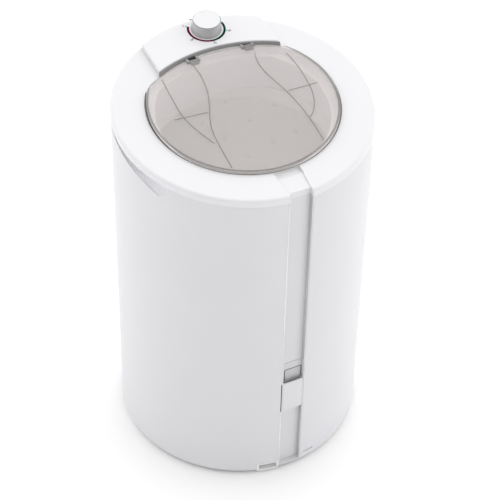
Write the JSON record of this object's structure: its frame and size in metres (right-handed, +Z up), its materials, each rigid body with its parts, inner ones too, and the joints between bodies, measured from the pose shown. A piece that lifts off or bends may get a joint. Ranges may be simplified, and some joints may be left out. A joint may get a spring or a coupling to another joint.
{
  "type": "spin dryer",
  "caption": "Household spin dryer with a tall round white casing, a sloping top with a clear domed lid, a timer knob on a raised panel, a front channel and side hand slots.",
  "frame": {"origin": "on the floor under the middle of the casing", "axes": "+Z up, -Y towards the side with the channel, +Y towards the control panel, +X to the right seen from the channel's side"},
  "size_m": [0.4412, 0.4406, 0.7391],
  "materials": {
    "casing_white": "gloss",
    "cover_white": "gloss",
    "channel_white": "satin",
    "base_white": "satin",
    "plate_grey": "satin",
    "strip_grey": "satin",
    "knob_silver": "satin",
    "lid_smoke": "gloss",
    "tub_grey": "satin",
    "dark_plastic": "satin",
    "rubber_black": "matte",
    "steel": "satin",
    "drum_steel": "satin",
    "bell_aluminium": "satin",
    "drum_iron": "matte",
    "winding_copper": "gloss"
  },
  "bodies": {
    "casing": {"body_shell": "casing_white", "seam_channel": "channel_white", "channel_clip": "cover_white", "rating_plate": "plate_grey", "base_pan": "base_white", "rubber_feet": "rubber_black", "casing_screws": "steel", "cord_gland": "dark_plastic", "top_cover": "cover_white", "handle_cup_left": "cover_white", "handle_cup_right": "cover_white", "control_panel": "cover_white", "hinge_strip": "strip_grey", "hinge_pins": "steel", "timer_body": "dark_plastic", "timer_nut": "steel", "tub": "tub_grey", "tub_ring": "tub_grey", "tub_seal": "rubber_black", "drain_hose": "rubber_black", "hose_clamps": "steel", "drain_spout": "cover_white", "shaft_boot": "rubber_black", "shaft_bush": "dark_plastic", "rubber_mount_1": "rubber_black", "rubber_mount_2": "rubber_black", "rubber_mount_3": "rubber_black", "capacitor": "bell_aluminium", "capacitor_strap": "steel", "lid_switch": "dark_plastic", "brake_cable": "rubber_black"},
    "lid": {"lid": "lid_smoke"},
    "knob": {"timer_knob": "knob_silver", "knob_cap": "cover_white", "timer_shaft": "steel"},
    "motor_unit": {"motor_plate": "steel", "lower_bell": "bell_aluminium", "upper_bell": "bell_aluminium", "lower_bearing": "steel", "upper_bearing": "steel", "stator_pack": "steel", "motor_windings": "winding_copper", "motor_bolts": "steel", "mount_studs": "steel", "brake_pivot": "steel", "brake_spring": "steel"},
    "drum": {"basket": "drum_steel", "balance_ring": "tub_grey", "drum_hub": "bell_aluminium", "clamp_plate": "steel", "hub_nut": "steel", "hub_cap": "tub_grey", "drive_shaft": "steel", "rotor": "steel", "brake_drum": "drum_iron"},
    "brake": {"brake_arm": "steel", "brake_shoe": "rubber_black", "cable_end": "steel"}
  },
  "joints": [
    {"name": "lid_hinge", "type": "hinge", "parent": "casing", "child": "lid", "pos_m": [0, 0.12115, 0.70757], "axis": [-1, 0, 0], "range_deg": [0, 100]},
    {"name": "timer_turn", "type": "hinge", "parent": "casing", "child": "knob", "pos_m": [0.017, 0.18539, 0.70728], "axis": [0, 0.0811, -0.9967], "range_deg": [0, 300]},
    {"name": "suspension_bounce", "type": "slide", "parent": "casing", "child": "motor_unit", "axis": [0, 0, 1], "range_m": [-0.006, 0.004], "stiffness_N_per_m": 36000, "springref_m": 0.00344, "deforming": ["rubber_mount_1", "rubber_mount_2", "rubber_mount_3"]},
    {"name": "drum_spin", "type": "hinge", "parent": "motor_unit", "child": "drum", "pos_m": [0, 0, 0.1], "axis": [0, 0, 1], "continuous": true},
    {"name": "brake_swing", "type": "hinge", "parent": "motor_unit", "child": "brake", "pos_m": [0.0673, 0.05975, 0.165], "axis": [0, 0, -1], "range_deg": [0, 3]}
  ],
  "couplings": [
    {"joint": "brake_swing", "follows": "lid_hinge", "ratio": 0.03}
  ]
}
